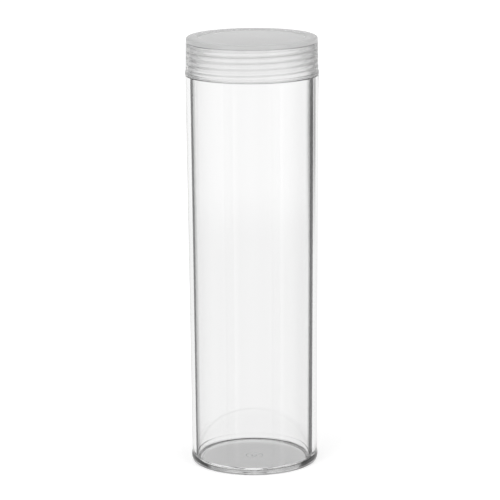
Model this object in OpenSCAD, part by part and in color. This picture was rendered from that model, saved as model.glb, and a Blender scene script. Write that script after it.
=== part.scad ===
// Round clear tube with a screw cap, for one full roll of small coins.
// Millimetres. The origin is the middle of the foot, and +Z runs up the tube.

/* [Coin roll] */
// Diameter of the coins that the tube holds
coin_d = 21.2; // [16:0.1:31]
// Thickness of one coin
coin_t = 1.95; // [1.2:0.05:2.8]
// Number of coins in a full roll
coin_count = 40; // [10:1:60]
// Room across the coins at the floor, on the diameter
coin_gap = 0.5; // [0.2:0.05:1.2]
// Room above the last coin, under the cap
head_room = 2.95; // [1:0.05:6]

/* [Tube body] */
// Wall of the tube at the floor
foot_wall = 1.25; // [0.9:0.05:2.4]
// How much wider the bore is at the mouth than at the floor
bore_draft = 0.6; // [0.1:0.05:1.4]
// Thickness of the floor
floor_t = 0.45; // [0.35:0.05:2]
// Height of the floor's underside above the table
floor_lift = 0.1; // [0.05:0.05:0.8]
// Radius of the inside corner between wall and floor
floor_fillet = 0.8; // [0.2:0.05:1.2]

/* [Foot] */
// Width of the ring that the tube stands on
foot_ring_w = 1.75; // [1:0.05:3]
// How far the foot bead stands out from the wall
bead_proud = 0.14; // [0.05:0.01:0.4]
// Height of the foot bead
bead_h = 1.6; // [0.9:0.05:2.6]
// Radius of the bottom edge of the foot
foot_edge_r = 0.25; // [0.1:0.05:0.5]

/* [Gate mark] */
// Diameter of the shallow well in the underside, round the moulding gate
gate_well_d = 3.2; // [2:0.1:5]
// Depth of that well
gate_well_depth = 0.15; // [0.05:0.05:0.2]
// Diameter of the gate stub left in the well
gate_stub_d = 1.0; // [0.5:0.05:1.6]
// Height of the gate stub, which stays short of the table
gate_stub_h = 0.2; // [0.05:0.05:0.2]

/* [Neck] */
// Wall of the neck at its mouth, measured to the thread's crest
neck_wall = 0.75; // [0.55:0.05:1.4]
// Radius at the outer edge of the shoulder
shoulder_r = 0.1; // [0.05:0.05:0.45]
// Radius in the corner between shoulder and neck
neck_root_r = 0.2; // [0.1:0.05:0.4]
// Chamfer on the outside of the rim, where the thread starts
rim_lead = 0.25; // [0.1:0.05:0.4]
// Radius on the inside of the rim, where the coins go in
mouth_r = 0.22; // [0.1:0.02:0.4]

/* [Screw cap] */
// Depth of the skirt, from its underside down to its open edge
skirt_depth = 6; // [4:0.1:12]
// Thickness of the cap's top
cap_top_t = 0.9; // [0.6:0.05:2]
// Wall of the skirt at its open edge, outside the thread's root
skirt_wall = 0.48; // [0.4:0.02:1.2]
// How much narrower the skirt is at the top than at its open edge, on the radius
skirt_draft = 0.1; // [0:0.01:0.4]
// Radius of the cap's outer top edge
cap_edge_r = 0.4; // [0.2:0.05:0.8]
// Width of the flat ring round the shallow panel in the cap's top
panel_rim = 1.7; // [0.8:0.1:4]
// Depth of the panel
panel_depth = 0.15; // [0.05:0.01:0.3]
// Width of the slope round the panel
panel_slope = 0.8; // [0.2:0.05:1.5]
// How far the lip at the skirt's open edge stands out
lip_proud = 0.13; // [0.05:0.01:0.3]
// Height of that lip
lip_h = 0.5; // [0.3:0.05:1]
// Radius of the corner inside the cap, under its top
cap_inner_r = 0.25; // [0.1:0.05:0.4]

/* [Fits] */
// Clearance between the neck and the cap's bore, on the radius
thread_gap = 0.12; // [0.06:0.01:0.3]
// Gap between the skirt's open edge and the shoulder with the cap screwed down
shoulder_gap = 0.2; // [0.1:0.05:0.6]
// How far the body stands out past the skirt at the shoulder
flush_step = 0.05; // [0:0.01:0.3]

/* [Hidden] */
$fn = 128;
// Segments in each quarter of a small rounded edge
edge_steps = 6;
// Overrun of a cut past the face that it opens
cut_over = 0.5;

// Bore, from the coins
bore_r_floor = (coin_d + coin_gap) / 2;
bore_r_mouth = bore_r_floor + bore_draft / 2;
floor_z = floor_lift + floor_t;
rim_z = floor_z + coin_t * coin_count + head_room;

// Neck and cap, each from the bore outwards
neck_r = bore_r_mouth + neck_wall;
cap_bore_r = neck_r + thread_gap;
skirt_r = cap_bore_r + skirt_wall;
cap_top_r = skirt_r - skirt_draft;
skirt_z = rim_z - skirt_depth;
cap_top_z = rim_z + cap_top_t;
lip_r = skirt_r + lip_proud;
panel_r = cap_top_r - cap_edge_r - panel_rim;

// Body, from the bore at the foot and from the skirt at the shoulder
shoulder_z = skirt_z - shoulder_gap;
body_r_foot = bore_r_floor + foot_wall;
body_r_shoulder = skirt_r + flush_step;
bead_r = body_r_foot + bead_proud;

// Foot bead, a low barrel from the bottom edge up to the wall
bead_half = (bead_h - foot_edge_r) / 2;
bead_curve = (bead_half * bead_half + bead_proud * bead_proud) / (2 * bead_proud);
bead_lean = asin(bead_half / bead_curve);
ring_r_in = body_r_foot - foot_edge_r - foot_ring_w;

// Points of an arc about (x, z) from angle a to angle b
function arc(x, z, r, a, b) =
    [for (i = [0 : edge_steps]) let (t = a + (b - a) * i / edge_steps)
        [x + r * cos(t), z + r * sin(t)]];

// Outline of the tube's wall and floor, from the axis at the floor's underside round to the mouth
function tube_outline() = concat(
    [[0, floor_lift]],
    [[ring_r_in, floor_lift]],
    [[ring_r_in + floor_lift, 0]],
    arc(body_r_foot - foot_edge_r, foot_edge_r, foot_edge_r, -90, -90 / edge_steps),
    arc(bead_r - bead_curve, foot_edge_r + bead_half, bead_curve, -bead_lean, bead_lean),
    arc(body_r_shoulder - shoulder_r, shoulder_z - shoulder_r, shoulder_r, 0, 90),
    arc(neck_r + neck_root_r, shoulder_z + neck_root_r, neck_root_r, 270, 180),
    [[neck_r, rim_z - rim_lead], [neck_r - rim_lead, rim_z]],
    arc(bore_r_mouth + mouth_r, rim_z - mouth_r, mouth_r, 90, 180),
    arc(bore_r_floor - floor_fillet, floor_z + floor_fillet, floor_fillet, 0, -90),
    [[0, floor_z]]
);

// Outline of the cap, from the axis at its underside round to its top
function cap_outline() = concat(
    [[0, rim_z]],
    arc(cap_bore_r - cap_inner_r, rim_z - cap_inner_r, cap_inner_r, 90, 0),
    [[cap_bore_r, skirt_z + lip_h / 2], [cap_bore_r + skirt_wall / 3, skirt_z]],
    [[lip_r - lip_proud, skirt_z], [lip_r, skirt_z + lip_proud], [lip_r, skirt_z + lip_h - lip_proud]],
    [[skirt_r, skirt_z + lip_h]],
    arc(cap_top_r - cap_edge_r, cap_top_z - cap_edge_r, cap_edge_r, 0, 90),
    [[panel_r, cap_top_z]],
    [[panel_r - panel_slope, cap_top_z - panel_depth], [0, cap_top_z - panel_depth]]
);

// Clear tube: floor, tapered wall, foot bead, shoulder and neck in one moulding
module tube() {
    color([0.93, 0.95, 0.95, 0.35])
    union() {
        difference() {
            rotate_extrude() polygon(tube_outline());
            gate_well();
        }
        gate_stub();
    }
}

// Well that keeps the gate stub off the table
module gate_well() {
    translate([0, 0, floor_lift - cut_over])
        cylinder(d = gate_well_d, h = gate_well_depth + cut_over);
}

// What is left of the moulding gate, in the middle of the well
module gate_stub() {
    stub_top = floor_lift + gate_well_depth;
    translate([0, 0, stub_top - gate_stub_h])
        cylinder(d = gate_stub_d, h = gate_stub_h + floor_t / 4);
}

// Milky cap, whose bore passes over the neck and whose top seats on the rim
module screw_cap() {
    color([0.9, 0.92, 0.93, 0.8])
    rotate_extrude() polygon(cap_outline());
}

tube();
screw_cap();
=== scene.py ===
"""Clear coin tube with a milky screw cap, standing on a white table."""
import logging
import math
from collections.abc import Callable
from dataclasses import dataclass, field
from enum import Enum

import bpy
import numpy as np
from mathutils import Matrix, Vector


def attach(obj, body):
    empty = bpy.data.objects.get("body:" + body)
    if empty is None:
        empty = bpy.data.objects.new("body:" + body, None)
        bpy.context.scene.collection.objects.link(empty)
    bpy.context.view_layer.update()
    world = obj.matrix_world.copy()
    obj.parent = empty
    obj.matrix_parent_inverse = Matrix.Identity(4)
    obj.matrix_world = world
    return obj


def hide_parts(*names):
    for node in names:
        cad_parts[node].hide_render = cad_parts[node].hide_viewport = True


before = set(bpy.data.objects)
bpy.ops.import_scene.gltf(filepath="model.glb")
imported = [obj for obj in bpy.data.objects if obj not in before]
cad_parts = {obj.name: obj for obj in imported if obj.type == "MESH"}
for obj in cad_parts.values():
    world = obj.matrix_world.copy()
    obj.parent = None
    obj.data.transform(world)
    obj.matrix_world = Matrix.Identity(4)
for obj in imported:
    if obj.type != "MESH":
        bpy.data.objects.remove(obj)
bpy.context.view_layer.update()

MM = 0.001
QUARTER_TURN = 90.0
log = logging.getLogger("coin_tube")

Point = tuple[float, float]
Colour = tuple[float, float, float]
Place = tuple[float, float, float]
Socket = bpy.types.NodeSocket


class Slot(Enum):
    """The record's material slots."""

    CLEAR = "clear_polystyrene"
    MILKY = "milky_polyethylene"


class Body(Enum):
    """The bodies that the pieces ride on."""

    TUBE = "tube"
    CAP = "cap"


# Profiles and turned meshes


def arc(x: float, z: float, r: float, start: float, end: float, steps: int = 8) -> list[Point]:
    """Points of a rounded corner.

    Args:
        x: Distance of its centre from the axis, in mm.
        z: Height of its centre, in mm.
        r: Its radius, in mm.
        start: First angle, in degrees from the outward direction.
        end: Last angle, in degrees.
        steps: Number of stretches that the corner is cut into.

    Returns:
        The points from start to end.
    """
    angles = [math.radians(start + (end - start) * i / steps) for i in range(steps + 1)]
    return [(x + r * math.cos(a), z + r * math.sin(a)) for a in angles]


def between(start: Point, end: Point, steps: int = 12) -> list[Point]:
    """Evenly spaced points on a straight wall, without its two ends.

    Args:
        start: The wall's first point, in mm.
        end: The wall's last point, in mm.
        steps: Number of stretches that the wall is cut into.

    Returns:
        The points between the two.
    """
    (x0, z0), (x1, z1) = start, end
    return [(x0 + (x1 - x0) * s, z0 + (z1 - z0) * s) for s in (i / steps for i in range(1, steps))]


def held(points: list[Point], hold: float = 0.04) -> list[Point]:
    """Adds a point close to both ends of each long stretch, so that corners don't bend the flats beside them.

    Args:
        points: The outline, in mm.
        hold: How far from a corner the added point sits, in mm.

    Returns:
        The outline with the added points.
    """
    out = [points[0]]
    for (x0, z0), (x1, z1) in zip(points, points[1:]):
        length = math.hypot(x1 - x0, z1 - z0)
        if length > 3 * hold:
            share = hold / length
            for s in (share, 1 - share):
                out.append((x0 + (x1 - x0) * s, z0 + (z1 - z0) * s))
        out.append((x1, z1))
    return out


def smooth(share: np.ndarray) -> np.ndarray:
    """A soft step from 0 to 1."""
    return share * share * (3 - 2 * share)


@dataclass(frozen=True)
class Thread:
    """One raised thread that winds up a cylinder, right-handed.

    Attributes:
        base_r: Radius of the plain cylinder, in mm.
        crest_r: Radius of the thread's crest, in mm; less than base_r on an inside thread.
        start_turn: Where round the axis the thread starts, in turns.
        start_z: Height of the thread's middle where it starts, in mm.
        pitch: Rise for one turn, in mm.
        turns: Number of turns.
        foot_w: Width of the thread at the cylinder, in mm.
        crest_w: Width of the thread's crest, in mm.
        fade: Length over which each end runs out, in turns.
    """

    base_r: float
    crest_r: float
    start_turn: float = 0.0
    start_z: float = 76.0
    pitch: float = 1.15
    turns: float = 4.3
    foot_w: float = 1.1
    crest_w: float = 0.1
    fade: float = 0.12

    def radius(self, z: float, theta: np.ndarray) -> np.ndarray:
        """The radius round the axis at one height.

        Args:
            z: Height, in mm.
            theta: Angles round the axis, in radians.

        Returns:
            One radius for each angle, in mm.
        """
        round_axis = theta / (2 * math.pi) - self.start_turn
        phase = (z - self.start_z) / self.pitch - round_axis
        nearest = np.round(phase)
        off = np.abs(phase - nearest) * self.pitch
        along = nearest + round_axis
        rise = np.clip((self.foot_w / 2 - off) / (self.foot_w / 2 - self.crest_w / 2), 0, 1)
        ends = np.clip(along / self.fade, 0, 1) * np.clip((self.turns - along) / self.fade, 0, 1)
        height = smooth(rise) * smooth(ends)
        return self.base_r + (self.crest_r - self.base_r) * height


def placed(name: str, data: bpy.types.ID) -> bpy.types.Object:
    """Makes an object of a mesh, lamp or camera and puts it in the scene.

    Args:
        name: Name of the object.
        data: What it shows.

    Returns:
        The new object.
    """
    made = bpy.data.objects.new(name, data)
    bpy.context.collection.objects.link(made)
    return made


@dataclass
class TurnedMesh:
    """A mesh turned round the Z axis, row by row.

    Attributes:
        segments: Number of columns round the axis.
        tiny: Radius below which a first or last row is one point, in mm.
        rows: For each row its radii, its height and how far its middle lies off the axis along X, in mm.
    """

    segments: int = 320
    tiny: float = 1e-9
    rows: list[tuple[np.ndarray, float, float]] = field(default_factory=list)

    @property
    def theta(self) -> np.ndarray:
        """Angles of the columns, in radians."""
        return np.linspace(0, 2 * math.pi, self.segments, endpoint=False)

    def plain(self, points: list[Point], shift: Callable[[float], float] | None = None) -> None:
        """Adds round rows.

        Args:
            points: Radius and height of each row, in mm.
            shift: How far each row's middle lies off the axis along X, in mm, by its height.
        """
        for r, z in points:
            self.rows.append((np.full(self.segments, r), z, shift(z) if shift else 0.0))

    def threaded(self, thread: Thread, z_from: float, z_to: float, step: float = 0.055) -> None:
        """Adds the rows of a threaded cylinder.

        Args:
            thread: The thread on it.
            z_from: Height of the first row, in mm.
            z_to: Height of the last row, in mm.
            step: Height between two rows, in mm.
        """
        count = max(2, round(abs(z_to - z_from) / step))
        for i in range(count + 1):
            z = z_from + (z_to - z_from) * i / count
            self.rows.append((thread.radius(z, self.theta), z, 0.0))

    def band(self, low: int, high: int, low_point: bool, high_point: bool) -> list[tuple[int, ...]]:
        """Faces between a row and the next one.

        Args:
            low: Number of the row's first corner.
            high: Number of the next row's first corner.
            low_point: Whether the row is one point.
            high_point: Whether the next row is one point.

        Returns:
            The corner numbers of each face.
        """
        columns = [(j, (j + 1) % self.segments) for j in range(self.segments)]
        if low_point:
            return [(low, high + k, high + j) for j, k in columns]
        if high_point:
            return [(low + j, low + k, high) for j, k in columns]
        return [(low + j, low + k, high + k, high + j) for j, k in columns]

    def build(self, name: str) -> bpy.types.Object:
        """Makes the mesh.

        Args:
            name: Name of the piece.

        Returns:
            The new object, in metres.
        """
        verts: list[np.ndarray] = []
        starts = [0]
        for radii, z, off in self.rows:
            angles = self.theta
            if float(np.max(radii)) < self.tiny:
                angles, radii = angles[:1], radii[:1]
            x = radii * np.cos(angles) + off
            verts.append(np.stack([x, radii * np.sin(angles), np.full(len(angles), z)], 1))
            starts.append(starts[-1] + len(angles))
        faces: list[tuple[int, ...]] = []
        for i in range(len(verts) - 1):
            faces += self.band(starts[i], starts[i + 1], len(verts[i]) == 1, len(verts[i + 1]) == 1)
        mesh = bpy.data.meshes.new(name)
        mesh.from_pydata(np.concatenate(verts) * MM, [], faces)
        mesh.polygons.foreach_set("use_smooth", np.ones(len(faces), bool))
        mesh.update()
        return placed(name, mesh)


# Node groups


class Sheet:
    """A node tree that is filled one node at a time."""

    def __init__(self, tree: bpy.types.NodeTree) -> None:
        """Starts on an empty tree.

        Args:
            tree: The node tree of a material, world or group.
        """
        self.tree = tree
        tree.nodes.clear()

    def node(self, kind: str, label: str = "", **inputs: object) -> bpy.types.Node:
        """Adds a node.

        Args:
            kind: Blender's name of the node type.
            label: What the node is for.
            inputs: Properties, and sockets by name or by in_N for the Nth; a socket links, a value is set.

        Returns:
            The new node.
        """
        made = self.tree.nodes.new(kind)
        made.label = label
        for name, value in inputs.items():
            if name.startswith("in_"):
                target = made.inputs[int(name[3:])]
            elif name.replace("_", " ") in made.inputs:
                target = made.inputs[name.replace("_", " ")]
            else:
                setattr(made, name, value)
                continue
            if isinstance(value, Socket):
                self.tree.links.new(value, target)
            else:
                target.default_value = value
        return made

    def place(self) -> Socket:
        """The point that is looked at, in the piece's own frame."""
        return self.node("ShaderNodeTexCoord").outputs["Object"]

    def math(self, operation: str, *values: object, label: str = "") -> Socket:
        """Adds a math node and gives its result.

        Args:
            operation: Blender's name of the operation.
            values: Its values or sockets, in order.
            label: What the node is for.

        Returns:
            The output socket.
        """
        inputs = {f"in_{i}": value for i, value in enumerate(values)}
        return self.node("ShaderNodeMath", label, operation=operation, **inputs).outputs[0]

    def step(
        self, value: Socket, low: object, high: object, at_low: float, at_high: float, label: str = "",
    ) -> Socket:
        """Adds a soft step between two values.

        Args:
            value: The socket that drives it.
            low: Where the step starts.
            high: Where the step ends.
            at_low: Result up to low.
            at_high: Result from high.
            label: What the node is for.

        Returns:
            The output socket.
        """
        made = self.node(
            "ShaderNodeMapRange", label, interpolation_type="SMOOTHSTEP",
            in_0=value, in_1=low, in_2=high, in_3=at_low, in_4=at_high,
        )
        return made.outputs[0]

    def mix(self, share: Socket, first: object, second: object, label: str) -> Socket:
        """Adds a mix of two numbers.

        Args:
            share: How much of the second one shows.
            first: The first value or socket.
            second: The second value or socket.
            label: What the node is for.

        Returns:
            The output socket.
        """
        made = self.node("ShaderNodeMix", label, data_type="FLOAT", in_0=share, in_2=first, in_3=second)
        return made.outputs[0]

    def noise(
        self, place: Socket, scale: object, detail: float, roughness: float = 0.5, label: str = "",
    ) -> Socket:
        """Adds a noise texture and gives its value.

        Args:
            place: Where it is read.
            scale: How fine it is.
            detail: Number of finer layers.
            roughness: How strong those are.
            label: What the node is for.

        Returns:
            The output socket.
        """
        made = self.node(
            "ShaderNodeTexNoise", label, Vector=place, Scale=scale, Detail=detail, Roughness=roughness,
        )
        return made.outputs[0]


def new_group(name: str, inputs: dict[str, float], outputs: list[str]) -> tuple[bpy.types.NodeTree, Sheet]:
    """Starts a shader node group of plain numbers.

    Args:
        name: Name of the group.
        inputs: Each input with its usual value.
        outputs: Names of the outputs.

    Returns:
        The group and its sheet.
    """
    tree = bpy.data.node_groups.new(name, "ShaderNodeTree")
    for key, value in inputs.items():
        tree.interface.new_socket(key, in_out="INPUT", socket_type="NodeSocketFloat").default_value = value
    for key in outputs:
        tree.interface.new_socket(key, in_out="OUTPUT", socket_type="NodeSocketFloat")
    return tree, Sheet(tree)


def scuff_group() -> bpy.types.NodeTree:
    """Fine handling scuffs: short hairlines at two angles, broken up by a cloud.

    Returns:
        The group, with outputs Mask and Height.
    """
    turns_and_stretches = ((0.35, 0.06), (-0.8, 0.10))
    fine, density_scale, peak, full_peak = 900.0, 5.0, 0.62, 0.72
    bare, cover_share, patch_edge = 0.85, 0.5, 0.2
    usual = {"Density": 1.0, "Lean": 0.5, "Cover": 0.5}
    tree, sheet = new_group("Handling scuffs", usual, ["Mask", "Height"])
    given = sheet.node("NodeGroupInput").outputs
    place = sheet.place()
    scale = sheet.math("MULTIPLY", given["Density"], density_scale)
    lines = []
    for turn, stretch in turns_and_stretches:
        lean = sheet.math("MULTIPLY", given["Lean"], turn)
        spin = sheet.node("ShaderNodeCombineXYZ", X=lean, Y=lean).outputs[0]
        lie = sheet.node("ShaderNodeVectorRotate", rotation_type="EULER_XYZ", Vector=place, Rotation=spin)
        drawn = (fine, fine, fine * stretch)
        size = sheet.node("ShaderNodeMapping", "hairlines", Vector=lie.outputs[0], Scale=drawn)
        streaks = sheet.noise(size.outputs[0], scale, detail=2.0, roughness=0.6)
        lines.append(sheet.step(streaks, peak, full_peak, 0.0, 1.0, "only the peaks"))
    cloud = sheet.noise(place, scale=160.0, detail=3.0, label="patches")
    low = sheet.math("SUBTRACT", bare, sheet.math("MULTIPLY", given["Cover"], cover_share))
    patch = sheet.step(cloud, low, sheet.math("ADD", low, patch_edge), 0.0, 1.0, "only in patches")
    mask = sheet.math("MULTIPLY", sheet.math("MAXIMUM", *lines), patch)
    sheet.node("NodeGroupOutput", Mask=mask, Height=sheet.math("MULTIPLY", mask, -1.0))
    return tree


def flow_group() -> bpy.types.NodeTree:
    """Slow waves that the melt leaves in a moulded wall, drawn out along the flow.

    Returns:
        The group, with outputs Tone and Height, both round 0.5.
    """
    wave_scale, tone_scale = 90.0, 45.0
    tree, sheet = new_group("Moulding flow", {"Size": 1.0, "Draw": 0.2}, ["Tone", "Height"])
    given = sheet.node("NodeGroupInput").outputs
    x, y, z = sheet.node("ShaderNodeSeparateXYZ", Vector=sheet.place()).outputs
    along = sheet.math("MULTIPLY", z, given["Draw"])
    drawn = sheet.node("ShaderNodeCombineXYZ", X=x, Y=y, Z=along).outputs[0]
    wave_size = sheet.math("MULTIPLY", given["Size"], wave_scale)
    waves = sheet.noise(drawn, wave_size, detail=1.5, roughness=0.4, label="slow waves")
    tone = sheet.noise(drawn, sheet.math("MULTIPLY", given["Size"], tone_scale), detail=2.0, label="tone")
    sheet.node("NodeGroupOutput", Tone=tone, Height=waves)
    return tree


def grain_group() -> bpy.types.NodeTree:
    """Fine grain that a matt mould leaves on the skin.

    Returns:
        The group, with the output Height.
    """
    tree, sheet = new_group("Skin grain", {"Depth": 0.4}, ["Height"])
    depth = sheet.node("NodeGroupInput").outputs["Depth"]
    skin = sheet.noise(sheet.place(), scale=2600.0, detail=2.0, label="skin grain")
    sheet.node("NodeGroupOutput", Height=sheet.math("MULTIPLY", skin, depth))
    return tree


# Finishes


@dataclass(frozen=True)
class Effects:
    """The node groups that the finishes share."""

    scuffs: bpy.types.NodeTree
    flow: bpy.types.NodeTree
    grain: bpy.types.NodeTree


def new_finish(name: str) -> tuple[bpy.types.Material, Sheet]:
    """Starts a material.

    Args:
        name: Name of the material.

    Returns:
        The material and its sheet.
    """
    made = bpy.data.materials.new(name)
    made.use_nodes = True
    return made, Sheet(made.node_tree)


@dataclass(frozen=True)
class Plastic:
    """What the moulded plastics have in common.

    Attributes:
        name: Name of the material.
        tint: Colour of the plastic.
        ior: Refractive index.
        clear: Share of the light that goes through it.
        gloss: Roughness of the skin.
        scuffed: Roughness added on a scuff.
        density: How closely the scuffs lie.
        cover: How much of the skin has scuffs.
        flow_size: How small the flow waves are.
        flow_draw: How far the waves are drawn out upwards; 1 is not at all.
        grain: Depth of the skin grain against the waves; 0 is none.
        relief: Height of waves and grain, in metres.
        shaded: Share of the tint's brightness where the flow is darkest.
    """

    name: str
    tint: Colour
    ior: float
    clear: float
    gloss: float
    scuffed: float
    density: float
    cover: float
    flow_size: float
    flow_draw: float
    grain: float
    relief: float
    shaded: float = 0.985

    def build(self, effects: Effects) -> bpy.types.Material:
        """Makes the material.

        Args:
            effects: The shared node groups.

        Returns:
            The material.
        """
        made, sheet = new_finish(self.name)
        scuffs = sheet.node(
            "ShaderNodeGroup", "scuffs", node_tree=effects.scuffs, Density=self.density, Cover=self.cover,
        )
        flow = sheet.node(
            "ShaderNodeGroup", "flow", node_tree=effects.flow, Size=self.flow_size, Draw=self.flow_draw,
        )
        rough = sheet.math("MULTIPLY_ADD", scuffs.outputs["Mask"], self.scuffed, self.gloss)
        height = flow.outputs["Height"]
        if self.grain:
            grain = sheet.node("ShaderNodeGroup", "grain", node_tree=effects.grain, Depth=self.grain)
            height = sheet.math("ADD", height, grain.outputs["Height"])
        bump = sheet.node("ShaderNodeBump", Height=height, Strength=1.0, Distance=self.relief)
        darkest = tuple(c * self.shaded for c in self.tint)
        shade = sheet.node(
            "ShaderNodeMix", "tone", data_type="RGBA",
            in_0=flow.outputs["Tone"], in_6=(*darkest, 1.0), in_7=(*self.tint, 1.0),
        )
        shader = sheet.node(
            "ShaderNodeBsdfPrincipled", Base_Color=shade.outputs[2], Roughness=rough,
            IOR=self.ior, Transmission_Weight=self.clear, Normal=bump.outputs[0],
        )
        sheet.node("ShaderNodeOutputMaterial", Surface=shader.outputs[0])
        return made


@dataclass(frozen=True)
class ClearPolystyrene(Plastic):
    """Glass-clear moulded polystyrene."""

    name: str = "clear polystyrene"
    tint: Colour = (0.9895, 0.99, 0.99)
    ior: float = 1.59
    clear: float = 1.0
    gloss: float = 0.012
    scuffed: float = 0.10
    density: float = 0.8
    cover: float = 0.35
    flow_size: float = 1.0
    flow_draw: float = 0.2
    grain: float = 0.0
    relief: float = 0.000004


@dataclass(frozen=True)
class MilkyPolyethylene(Plastic):
    """Soft milky polyethylene, clear enough to show the thread through it."""

    name: str = "milky polyethylene"
    tint: Colour = (0.998, 0.998, 0.998)
    ior: float = 1.51
    clear: float = 0.92
    gloss: float = 0.13
    scuffed: float = 0.12
    density: float = 1.2
    cover: float = 0.6
    flow_size: float = 3.0
    flow_draw: float = 1.0
    grain: float = 0.4
    relief: float = 0.000003


@dataclass(frozen=True)
class ShadedThickPolyethylene(MilkyPolyethylene):
    """The same plastic where it is thick, in the cap's top plate, and so milkier; its darker tint is painted
    shade on the cap's top.
    """

    name: str = "thick milky polyethylene with painted shade"
    # Darker tint than the skirt's: painted shade on the top plate, not a colour of the plastic.
    tint: Colour = (0.85, 0.851, 0.851)
    clear: float = 0.4
    gloss: float = 0.18


# The object's pieces


def mounted(
    piece: bpy.types.Object, finish: bpy.types.Material, body: Body, node: str,
) -> bpy.types.Object:
    """Dresses a piece and puts it on its body in place of its plain solid.

    Args:
        piece: The new piece.
        finish: Its material.
        body: The body that it rides on.
        node: The solid that it stands for.

    Returns:
        The piece.
    """
    piece.data.materials.append(finish)
    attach(piece, body.value)
    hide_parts(node)
    return piece


@dataclass
class TubeBody:
    """The moulded clear tube, with its foot, gate mark, wall, shoulder and threaded neck. Sizes in mm.

    Attributes:
        foot_bead_r: Radius of the foot bead at its widest.
        bead_h: Height of the foot bead.
        foot_edge_r: Radius of the foot's bottom edge.
        foot_ring_w: Width of the ring that the tube stands on.
        ring_lead: How far inside the ring the underside starts to bend down to it.
        floor_lift: Height of the floor's underside.
        floor_z: Height of the floor's top.
        floor_fillet: Radius between floor and bore.
        wall_r_foot: Outer radius of the wall above the foot bead.
        wall_r_shoulder: Outer radius of the wall under the shoulder.
        shoulder_z: Height of the shoulder.
        shoulder_r: Radius of the shoulder's outer edge.
        neck_root_r: Radius in the corner between shoulder and neck.
        rim_z: Height of the rim.
        rim_lead: Height of the plain stretch above the thread.
        rim_soft: Radius of the rim's outer edge.
        mouth_r: Radius of the rim's inner edge.
        bore_r_floor: Radius of the bore at the floor.
        bore_r_mouth: Radius of the bore at the mouth.
        gate_well_r: Radius of the well round the gate mark.
        gate_well_z: Height of the well's top.
        gate_stub_r: Radius of the gate stub.
        gate_stub_z: Height of the stub's lower end.
        gate_soft: Radius of the edges of well and stub.
        thread_gap: Height between the threaded rows and the plain ones at each end.
        shift_heights: Heights at which the shift of the moulding core is known.
        shifts: How far the core stood off the axis there, along X.
        thread: The thread on the neck.
    """

    foot_bead_r: float = 12.24
    bead_h: float = 1.6
    foot_edge_r: float = 0.25
    foot_ring_w: float = 1.75
    ring_lead: float = 0.1
    floor_lift: float = 0.1
    floor_z: float = 0.55
    floor_fillet: float = 0.8
    wall_r_foot: float = 12.10
    wall_r_shoulder: float = 12.55
    shoulder_z: float = 75.3
    shoulder_r: float = 0.1
    neck_root_r: float = 0.2
    rim_z: float = 81.5
    rim_lead: float = 0.25
    rim_soft: float = 0.1
    mouth_r: float = 0.22
    bore_r_floor: float = 10.85
    bore_r_mouth: float = 11.15
    gate_well_r: float = 1.6
    gate_well_z: float = 0.25
    gate_stub_r: float = 0.5
    gate_stub_z: float = 0.05
    gate_soft: float = 0.06
    thread_gap: float = 0.05
    shift_heights: tuple[float, ...] = (0.5, 15.0, 35.0, 73.0, 78.0)
    shifts: tuple[float, ...] = (-0.17, -0.16, -0.12, -0.105, 0.0)
    thread: Thread = Thread(base_r=11.72, crest_r=11.90)

    def underside(self) -> list[Point]:
        """Outline of the underside.

        Returns:
            The points from the gate mark out to the foot ring.
        """
        soft, lift = self.gate_soft, self.floor_lift
        ring = self.wall_r_foot - self.foot_edge_r - self.foot_ring_w
        points = [(0.0, self.gate_stub_z)]
        points += arc(self.gate_stub_r - soft, self.gate_stub_z + soft, soft, -90, 0, 4)
        points += arc(self.gate_stub_r + soft, self.gate_well_z - soft, soft, 180, 90, 4)
        points += arc(self.gate_well_r - soft, self.gate_well_z - soft, soft, 90, 0, 4)
        points += arc(self.gate_well_r + soft, lift + soft, soft, 180, 270, 4)
        points += [(ring - self.ring_lead, lift), (ring + lift / 2, lift / 2), (ring + lift, 0.0)]
        return points

    def outside(self) -> list[Point]:
        """Outline of the outer wall.

        Returns:
            The points from the foot's edge up the wall to the root of the neck.
        """
        edge, root, top = self.foot_edge_r, self.neck_root_r, self.shoulder_z - self.shoulder_r
        half = (self.bead_h - edge) / 2
        proud = self.foot_bead_r - self.wall_r_foot
        barrel = (half * half + proud * proud) / (2 * proud)
        lean = math.degrees(math.asin(half / barrel))
        points = arc(self.wall_r_foot - edge, edge, edge, -90, 0)
        points += arc(self.foot_bead_r - barrel, edge + half, barrel, -lean, lean, 12)
        points += between((self.wall_r_foot, self.bead_h), (self.wall_r_shoulder, top))
        points += arc(self.wall_r_shoulder - self.shoulder_r, top, self.shoulder_r, 0, 90)
        points += arc(self.thread.base_r + root, self.shoulder_z + root, root, 270, 180)
        return points

    def inside(self) -> list[Point]:
        """Outline of the rim and the bore.

        Returns:
            The points from the rim down the bore to the middle of the floor.
        """
        neck_r, soft = self.thread.base_r, self.rim_soft
        top, low = self.rim_z - self.mouth_r, self.floor_z + self.floor_fillet
        points = [(neck_r, self.rim_z - self.rim_lead)]
        points += arc(neck_r - soft, self.rim_z - soft, soft, 0, 90, 5)
        points += arc(self.bore_r_mouth + self.mouth_r, top, self.mouth_r, 90, 180)
        points += between((self.bore_r_mouth, top), (self.bore_r_floor, low))
        points += arc(self.bore_r_floor - self.floor_fillet, low, self.floor_fillet, 0, -90, 10)
        points += [(self.bore_r_floor / 2, self.floor_z), (0.0, self.floor_z)]
        return points

    def core_shift(self, z: float) -> float:
        """How far the moulding core stood off the axis at a height, in mm."""
        return float(np.interp(z, self.shift_heights, self.shifts))

    def build(self, finish: bpy.types.Material) -> bpy.types.Object:
        """Makes the tube and puts it on its body.

        Args:
            finish: The clear plastic.

        Returns:
            The tube.
        """
        root_z = self.shoulder_z + self.neck_root_r + self.thread_gap
        turned = TurnedMesh()
        turned.plain(held(self.underside() + self.outside()))
        turned.threaded(self.thread, root_z, self.rim_z - self.rim_lead - self.thread_gap)
        turned.plain(held(self.inside()), self.core_shift)
        return mounted(turned.build("clear_tube"), finish, Body.TUBE, "tube")


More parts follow.
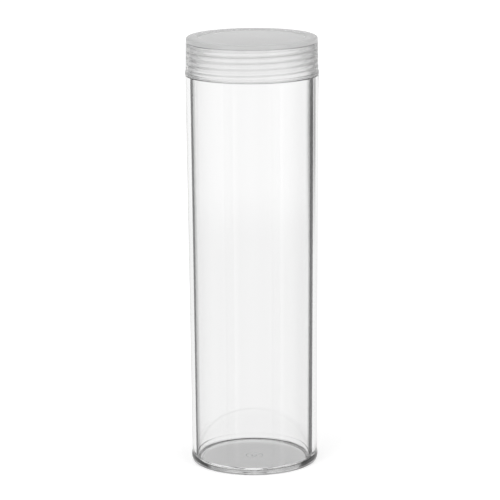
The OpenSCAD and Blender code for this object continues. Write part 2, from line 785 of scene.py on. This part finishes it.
@dataclass
class ScrewCap:
    """The moulded screw cap, with its sunk top panel, thin skirt, edge lip and inside thread. Sizes in mm.

    Attributes:
        rim_z: Height of the inside top, which sits on the tube's rim.
        top_z: Height of the top.
        skirt_z: Height of the open edge.
        skirt_r: Outer radius of the skirt above the lip.
        top_r: Outer radius of the skirt at the top.
        edge_r: Radius of the top's outer edge.
        inner_r: Radius between inside top and bore.
        lip_r: Outer radius of the lip.
        lip_h: Height of the lip.
        lip_slope: Height of the slope from the lip to the skirt.
        lip_soft: Radius of the lip's lower edge.
        skirt_rows: Number of stretches that the skirt is cut into.
        plate_gap: Height above the inside top from which the skin is that of the thick top plate.
        panel_r: Radius of the sunk panel.
        panel_depth: Depth of the panel at its edge.
        panel_slope: Width of the slope round the panel.
        panel_soft: How far each end of that slope is rounded off to both sides.
        panel_ease: How far it is rounded off in height.
        panel_crown: Height that the panel's middle rises above its edge.
        panel_rows: Number of stretches that the crown is cut into.
        thread_gap: Height between the threaded rows and the plain ones at each end.
        thread: The thread in the bore.
    """

    rim_z: float = 81.5
    top_z: float = 82.4
    skirt_z: float = 75.36
    skirt_r: float = 12.50
    top_r: float = 12.40
    edge_r: float = 0.4
    inner_r: float = 0.25
    lip_r: float = 12.63
    lip_h: float = 0.64
    lip_slope: float = 0.13
    lip_soft: float = 0.05
    skirt_rows: int = 5
    plate_gap: float = 0.02
    panel_r: float = 10.30
    panel_depth: float = 0.15
    panel_slope: float = 0.35
    panel_soft: float = 0.05
    panel_ease: float = 0.02
    panel_crown: float = 0.1
    panel_rows: int = 10
    thread_gap: float = 0.05
    thread: Thread = Thread(base_r=12.02, crest_r=11.99, start_turn=0.5)

    def inner_top(self) -> list[Point]:
        """Outline from the middle of the inside out to the top of the bore."""
        bore, soft = self.thread.base_r, self.inner_r
        return [(0.0, self.rim_z), (bore / 2, self.rim_z), *arc(bore - soft, self.rim_z - soft, soft, 90, 0)]

    def skirt(self) -> list[Point]:
        """Outline of the skirt.

        Returns:
            The points from the open edge over the lip and up to the top's outer edge.
        """
        bottom, bore, soft = self.skirt_z, self.thread.base_r, self.lip_soft
        low, high = bottom + self.lip_h, self.top_z - self.edge_r
        points = [(bore, bottom + self.lip_h / 2), (bore + (self.skirt_r - bore) / 3, bottom)]
        points += arc(self.lip_r - soft, bottom + soft, soft, -90, 0, 5)
        points += [(self.lip_r, low - self.lip_slope), (self.skirt_r, low)]
        for z in (*np.linspace(low, self.rim_z, self.skirt_rows + 1)[1:], self.rim_z + self.plate_gap):
            r = self.skirt_r + (self.top_r - self.skirt_r) * (z - low) / (high - low)
            points.append((float(r), float(z)))
        points += arc(self.top_r - self.edge_r, high, self.edge_r, 0, 90)
        return points

    def panel(self) -> list[Point]:
        """Outline of the top.

        Returns:
            The points from the rim of the sunk panel to the middle of the top.
        """
        soft, ease = self.panel_soft, self.panel_ease
        sunk, foot = self.top_z - self.panel_depth, self.panel_r - self.panel_slope
        points = [(self.panel_r + soft, self.top_z), (self.panel_r - soft, self.top_z - ease)]
        points += [(foot + soft, sunk + ease), (foot - soft, sunk)]
        for i in range(1, self.panel_rows + 1):
            share = 1 - i / self.panel_rows
            points.append(((foot - soft) * share, sunk + self.panel_crown * (1 - share**2)))
        return points

    def build(self, finish: bpy.types.Material, thick: bpy.types.Material) -> bpy.types.Object:
        """Makes the cap and puts it on its body.

        Args:
            finish: The milky plastic of the thin skirt.
            thick: The same plastic where it is thick, in the top plate, milkier and with a darker tint that
                paints shade on it.

        Returns:
            The cap.
        """
        bore_top = self.rim_z - self.inner_r - self.thread_gap
        turned = TurnedMesh()
        turned.plain(held(self.inner_top()))
        turned.threaded(self.thread, bore_top, self.skirt_z + self.lip_h / 2 + self.thread_gap)
        turned.plain(held(self.skirt() + self.panel()))
        piece = mounted(turned.build("milky_cap"), finish, Body.CAP, "screw_cap")
        # The top plate takes the thick finish, whose darker tint is painted shade.
        piece.data.materials.append(thick)
        for face in piece.data.polygons:
            if face.center.z > (self.rim_z + self.plate_gap) * MM:
                face.material_index = 1
        return piece


# The studio


def many_times(sheet: Sheet, light: bpy.types.Node, often: float = 2.5) -> Socket:
    """Mask of the light that was reflected more than the given number of times on its way."""
    return sheet.math("GREATER_THAN", light.outputs["Glossy Depth"], often, label="many times reflected")


@dataclass(frozen=True)
class Camera:
    """The camera, where the photograph was taken from.

    Attributes:
        height: Height of the object, in metres.
        distance: From the camera to the object's middle, in metres.
        elevation: How far it looks down, in degrees.
        roll: How far it is turned about its own line of sight, in degrees.
        lens: Focal length, in mm.
        sensor: Width of the sensor, in mm.
        shift: Shift of the lens, in shares of the picture's width.
        clip: Nearest and farthest distance that it sees, in metres.
    """

    height: float = 0.0824
    distance: float = 0.4785
    elevation: float = 12.68
    roll: float = -0.42
    lens: float = 180.0
    sensor: float = 36.0
    shift: tuple[float, float] = (-0.00664, 0.00076)
    clip: tuple[float, float] = (0.01, 50.0)

    def build(self) -> None:
        """Makes the camera and looks through it."""
        data = bpy.data.cameras.new("camera")
        data.sensor_width, data.lens = self.sensor, self.lens
        data.shift_x, data.shift_y = self.shift
        data.clip_start, data.clip_end = self.clip
        made = placed("camera", data)
        e = math.radians(self.elevation)
        middle = Vector((0.0, 0.0, self.height / 2))
        back = Vector((0.0, -math.cos(e), math.sin(e)))
        turn = (-back).to_track_quat("-Z", "Y").to_matrix().to_4x4()
        roll = Matrix.Rotation(math.radians(self.roll), 4, "Z")
        made.matrix_world = Matrix.Translation(middle + back * self.distance) @ turn @ roll
        bpy.context.scene.camera = made


@dataclass(frozen=True)
class Panel:
    """A brighter part of the room that the plastic's skin mirrors. Angles in degrees.

    Attributes:
        middle: Direction of its middle, to the right of straight ahead.
        half: Half its width.
        strength: What it adds to the room's brightness.
        short: Whether it ends above the table.
    """

    middle: float
    half: float
    strength: float
    short: bool = False


@dataclass(frozen=True)
class Tent:
    """The white tent round the whole set. Angles in degrees, brightness from 0 to 1.

    It doesn't move. How bright it is depends on the direction from the middle of the set, and on how often
    the light has passed the plastic's skin and been reflected on its way.

    Attributes:
        radius: Radius of the tent, in mm.
        rings: Number of stretches that its height is cut into.
        columns: Number of columns round it.
        field_left: Where each white field ends on its left.
        field_right: Where each white field ends on its right.
        field_edge: Width of a field's soft edge.
        flag: Brightness of the black flags between the fields.
        table_end: Elevations between which the table gives way to the backdrop.
        field_low: Brightness of the fields at the table.
        window: Azimuths between which the wall right of the backdrop gets dim, and between which it ends.
        window_foot: Elevations between which that wall starts.
        dim: How much light it lacks.
        softer: How far off the middle of a field the backdrop starts to get softer, and stops.
        side: Brightness of the backdrop's sides.
        room: Brightness of the room that the outer skin mirrors.
        panels: The brighter panels in that room.
        panel_edge: Half the width of a panel's soft edge.
        panel_foot: Elevations between which a short panel starts.
        sky_from: Elevation from which the ceiling starts.
        sky_edge: Width of the ceiling's soft edge.
        ceiling: Brightness of the ceiling in a reflection.
        ceiling_through: Brightness of the ceiling straight through the plastic.
        near_wall: Passages of the skin below which light has met only the near wall.
        beside: How far off the middle of the room's sides their darkness starts to end, and has ended.
        lost: How much of the light that was reflected many times is lost in those sides.
    """

    radius: float = 3000.0
    rings: int = 24
    columns: int = 48
    field_left: float = 35.5
    field_right: float = 34.5
    field_edge: float = 1.5
    flag: float = 0.0
    table_end: tuple[float, float] = (-11.5, -9.9)
    field_low: float = 0.94
    window: tuple[float, float, float, float] = (17.0, 27.0, 32.0, 35.0)
    window_foot: tuple[float, float] = (-12.5, -8.3)
    dim: float = 0.8
    softer: tuple[float, float] = (5.0, 14.0)
    side: float = 0.92
    room: float = 0.8
    panels: tuple[Panel, ...] = (
        Panel(-124.0, 14.0, 0.3, short=True),
        Panel(130.0, 17.0, 0.3, short=True),
        Panel(-138.9, 10.5, 0.8),
        Panel(137.4, 10.5, 0.8),
    )
    panel_edge: float = 7.0
    panel_foot: tuple[float, float] = (-13.0, -11.5)
    sky_from: float = 4.0
    sky_edge: float = 10.0
    ceiling: float = 0.57
    ceiling_through: float = 0.95
    near_wall: float = 2.5
    beside: tuple[float, float] = (48.0, 51.0)
    lost: float = 0.96

    def build(self) -> None:
        """Makes the tent; only reflections and the view through the plastic show it."""
        turned = TurnedMesh(self.columns)
        turned.plain(arc(0.0, 0.0, self.radius, -90, 90, self.rings))
        made = turned.build("tent")
        made.data.materials.append(self.finish())
        made.visible_camera = made.visible_diffuse = made.visible_shadow = made.visible_volume_scatter = False

    def white_fields(self, sheet: Sheet, quarter: Socket) -> Socket:
        """Mask of the four white fields, ahead, behind and to both sides.

        Args:
            sheet: The tent's node tree.
            quarter: Azimuth from the middle of the nearest field.

        Returns:
            1 in the fields and 0 on the flags between them.
        """
        right, left, edge = self.field_right, -self.field_left, self.field_edge
        return sheet.math(
            "MULTIPLY",
            sheet.step(quarter, right, right + edge, 1.0, 0.0, "right edge of each field"),
            sheet.step(quarter, left - edge, left, 0.0, 1.0, "left edge of each field"),
        )

    def backdrop(self, sheet: Sheet, az: Socket, el: Socket) -> Socket:
        """White of the fields, a little darker at the table, with the dim wall right of the backdrop.

        Args:
            sheet: The tent's node tree.
            az: Azimuth, to the right of straight ahead.
            el: Elevation.

        Returns:
            The brightness.
        """
        start, full, end, gone = self.window
        lit = sheet.step(el, *self.table_end, self.field_low, 1.0, "table, then the backdrop")
        begins = sheet.step(az, start, full, 0.0, self.dim)
        ends = sheet.step(az, end, gone, 1.0, 0.0)
        across = sheet.math("MULTIPLY", begins, ends, label="dim wall right of the backdrop")
        lack = sheet.math("MULTIPLY", across, sheet.step(el, *self.window_foot, 0.0, 1.0))
        return sheet.math("MULTIPLY", lit, sheet.math("SUBTRACT", 1.0, lack))

    def room_walls(self, sheet: Sheet, az: Socket, el: Socket) -> Socket:
        """The room that the outer skin mirrors, with its panels.

        Args:
            sheet: The tent's node tree.
            az: Azimuth, to the right of straight ahead.
            el: Elevation.

        Returns:
            The brightness.
        """
        walls = self.room
        above = sheet.step(el, *self.panel_foot, 0.0, 1.0, "lower edge of the short panels")
        for panel in self.panels:
            off = sheet.math("ABSOLUTE", sheet.math("SUBTRACT", az, panel.middle))
            near, far = panel.half - self.panel_edge, panel.half + self.panel_edge
            added = sheet.step(off, near, far, panel.strength, 0.0, "panel")
            walls = sheet.math("ADD", walls, sheet.math("MULTIPLY", added, above) if panel.short else added)
        return walls

    def finish(self) -> bpy.types.Material:
        """Makes the tent's glow.

        Straight through the plastic it is the backdrop, reflected inside the near wall it is the white
        fields and the flags, and off the outer skin it is the room.

        Returns:
            The material.
        """
        made, sheet = new_finish("tent cloth")
        made.cycles.emission_sampling = "NONE"
        unit = sheet.node("ShaderNodeVectorMath", operation="NORMALIZE", in_0=sheet.place())
        right, ahead, up = sheet.node("ShaderNodeSeparateXYZ", Vector=unit.outputs[0]).outputs
        az = sheet.math("DEGREES", sheet.math("ARCTAN2", right, ahead))
        el = sheet.math("DEGREES", sheet.math("ARCSINE", up))
        fields_away = sheet.math("ROUND", sheet.math("DIVIDE", az, QUARTER_TURN))
        quarter = sheet.math("SUBTRACT", az, sheet.math("MULTIPLY", fields_away, QUARTER_TURN))
        light = sheet.node("ShaderNodeLightPath")
        passages = light.outputs["Transmission Depth"]
        mirrored = sheet.math("MINIMUM", light.outputs["Glossy Depth"], 1.0)
        entered = sheet.math("MINIMUM", passages, 1.0)
        only_near = sheet.math("MULTIPLY", entered, sheet.math("LESS_THAN", passages, self.near_wall))
        inside = sheet.math("MULTIPLY", mirrored, only_near, label="reflected inside the near wall")
        outer = sheet.math(
            "MULTIPLY", mirrored, sheet.math("SUBTRACT", 1.0, entered), label="reflected off the skin",
        )
        backdrop = self.backdrop(sheet, az, el)
        flagged = sheet.mix(self.white_fields(sheet, quarter), self.flag, backdrop, "field or flag")
        off_middle = sheet.math("ABSOLUTE", quarter)
        softer = sheet.step(off_middle, *self.softer, 1.0, self.side, "softer to the sides")
        seen = sheet.math("MULTIPLY", backdrop, softer)
        through = sheet.mix(outer, seen, self.room_walls(sheet, az, el), "through the wall or off it")
        around = sheet.mix(inside, through, flagged, "inside the wall")
        ceiling = sheet.mix(mirrored, self.ceiling_through, self.ceiling, "ceiling")
        sky = sheet.step(el, self.sky_from, self.sky_from + self.sky_edge, 0.0, 1.0, "above the field")
        glow = sheet.mix(sky, around, ceiling, "walls or ceiling")
        off_ahead = sheet.math("ABSOLUTE", az)
        off_side = sheet.math("ABSOLUTE", sheet.math("SUBTRACT", off_ahead, QUARTER_TURN))
        beside = sheet.step(off_side, *self.beside, self.lost, 0.0, "dark sides of the room")
        gone = sheet.math("MULTIPLY", many_times(sheet, light), beside)
        strength = sheet.math("MULTIPLY", glow, sheet.math("SUBTRACT", 1.0, gone))
        shader = sheet.node("ShaderNodeEmission", Strength=strength)
        sheet.node("ShaderNodeOutputMaterial", Surface=shader.outputs[0])
        return made


@dataclass(frozen=True)
class Table:
    """The white table.

    Attributes:
        radii: Radii of its rows from the edge inwards, in mm.
        columns: Number of columns round it.
        drop: How far it lies under the foot, in metres.
        greys: Its darkest and its lightest grey.
        seen: Its glow where the camera sees it.
        through: Its glow where the plastic shows it.
        disc_r: Radius of the part that the plastic shows, in metres.
        disc_edge: Width of that part's soft edge, in metres.
    """

    radii: tuple[float, ...] = (900.0, 200.0, 50.0, 12.5, 0.0)
    columns: int = 96
    drop: float = 0.00002
    greys: tuple[float, float] = (0.78, 0.8)
    seen: float = 0.45
    through: float = 0.3
    disc_r: float = 0.0102
    disc_edge: float = 0.0002

    def build(self) -> None:
        """Makes the table, a flat round."""
        turned = TurnedMesh(self.columns)
        turned.plain([(r, 0.0) for r in self.radii])
        made = turned.build("table")
        made.data.materials.append(self.finish())
        made.location.z = -self.drop

    def finish(self) -> bpy.types.Material:
        """Makes the table's white; the plastic shows only its part under the foot, and else the tent.

        Returns:
            The material.
        """
        made, sheet = new_finish("white table")
        made.cycles.emission_sampling = "NONE"
        place = sheet.place()
        light = sheet.node("ShaderNodeLightPath")
        dark, pale = ((grey, grey, grey, 1.0) for grey in self.greys)
        mottle = sheet.noise(place, scale=40.0, detail=2.0, label="faint mottle")
        tone = sheet.node("ShaderNodeMix", "tone", data_type="RGBA", in_0=mottle, in_6=dark, in_7=pale)
        matt = sheet.node("ShaderNodeBsdfDiffuse", Color=tone.outputs[2])
        bent = sheet.math("MAXIMUM", light.outputs["Is Transmission Ray"], light.outputs["Is Glossy Ray"])
        direct = sheet.math("MULTIPLY", light.outputs["Is Camera Ray"], self.seen)
        shown = sheet.math("ADD", direct, sheet.math("MULTIPLY", bent, self.through))
        glow = sheet.node("ShaderNodeEmission", Strength=shown)
        seen = sheet.node("ShaderNodeAddShader", in_0=matt.outputs[0], in_1=glow.outputs[0])
        away = sheet.node("ShaderNodeVectorMath", operation="LENGTH", in_0=place).outputs["Value"]
        outside = sheet.step(away, self.disc_r, self.disc_r + self.disc_edge, 0.0, 1.0, "outside the foot")
        gone = sheet.math("MULTIPLY", bent, sheet.math("MAXIMUM", outside, many_times(sheet, light)))
        clear = sheet.node("ShaderNodeBsdfTransparent")
        both = sheet.node("ShaderNodeMixShader", in_0=gone, in_1=seen.outputs[0], in_2=clear.outputs[0])
        sheet.node("ShaderNodeOutputMaterial", Surface=both.outputs[0])
        return made


@dataclass(frozen=True)
class SoftBox:
    """A square lamp. It lights what is matt; reflections and the view through the plastic don't show it.

    Attributes:
        name: Name of the lamp.
        place: Where it hangs, in metres.
        power: Its power, in watts.
        size: Its width and height, in metres.
        aim: The point that it faces, in metres.
    """

    name: str
    place: Place
    power: float
    size: float = 1.4
    aim: Place = (0.0, 0.0, 0.04)

    def build(self) -> None:
        """Hangs the lamp."""
        data = bpy.data.lights.new(self.name, "AREA")
        data.shape, data.energy = "RECTANGLE", self.power
        data.size = data.size_y = self.size
        made = placed(self.name, data)
        made.location = self.place
        made.rotation_euler = (Vector(self.aim) - Vector(self.place)).to_track_quat("-Z", "Y").to_euler()
        made.visible_glossy = made.visible_transmission = False


@dataclass(frozen=True)
class Studio:
    """The whole set.

    Attributes:
        camera: The camera.
        tent: The tent.
        table: The table.
        soft_boxes: The lamps, left and right in front of the object.
        surround: Brightness of the white surround as a light.
        bounces: How often light may pass the plastic's skin, and be bent or reflected in all.
        clear_bounces: How often it may be reflected, and pass what is fully clear.
    """

    camera: Camera = Camera()
    tent: Tent = Tent()
    table: Table = Table()
    soft_boxes: tuple[SoftBox, ...] = (
        SoftBox("soft box left", (-1.2, -1.2, 1.2), 14.0),
        SoftBox("soft box right", (1.4, -0.9, 1.1), 11.0),
    )
    surround: float = 0.64
    bounces: int = 32
    clear_bounces: int = 16

    def world(self) -> None:
        """Makes the white surround that lights the object and shows behind it."""
        world = bpy.data.worlds.new("white surround")
        world.use_nodes = True
        sheet = Sheet(world.node_tree)
        seen = sheet.node("ShaderNodeLightPath").outputs["Is Camera Ray"]
        glow = sheet.step(seen, 0.0, 1.0, self.surround, 1.0, "white behind the object")
        back = sheet.node("ShaderNodeBackground", Color=(1.0, 1.0, 1.0, 1.0), Strength=glow)
        sheet.node("ShaderNodeOutputWorld", Surface=back.outputs[0])
        bpy.context.scene.world = world

    def build(self) -> None:
        """Sets up the whole studio."""
        for part in (self.camera, self.tent, self.table, *self.soft_boxes):
            part.build()
        self.world()
        scene = bpy.context.scene
        scene.view_settings.view_transform = "Standard"
        scene.cycles.max_bounces = scene.cycles.transmission_bounces = self.bounces
        scene.cycles.glossy_bounces = scene.cycles.transparent_max_bounces = self.clear_bounces


def main() -> None:
    """Builds the tube, the cap and the studio."""
    logging.basicConfig(level=logging.INFO, format="%(name)s: %(message)s")
    effects = Effects(scuff_group(), flow_group(), grain_group())
    pieces = [
        TubeBody().build(ClearPolystyrene().build(effects)),
        ScrewCap().build(MilkyPolyethylene().build(effects), ShadedThickPolyethylene().build(effects)),
    ]
    Studio().build()
    for piece in pieces:
        log.info("%s: %d faces", piece.name, len(piece.data.polygons))


if __name__ == "__main__":
    main()
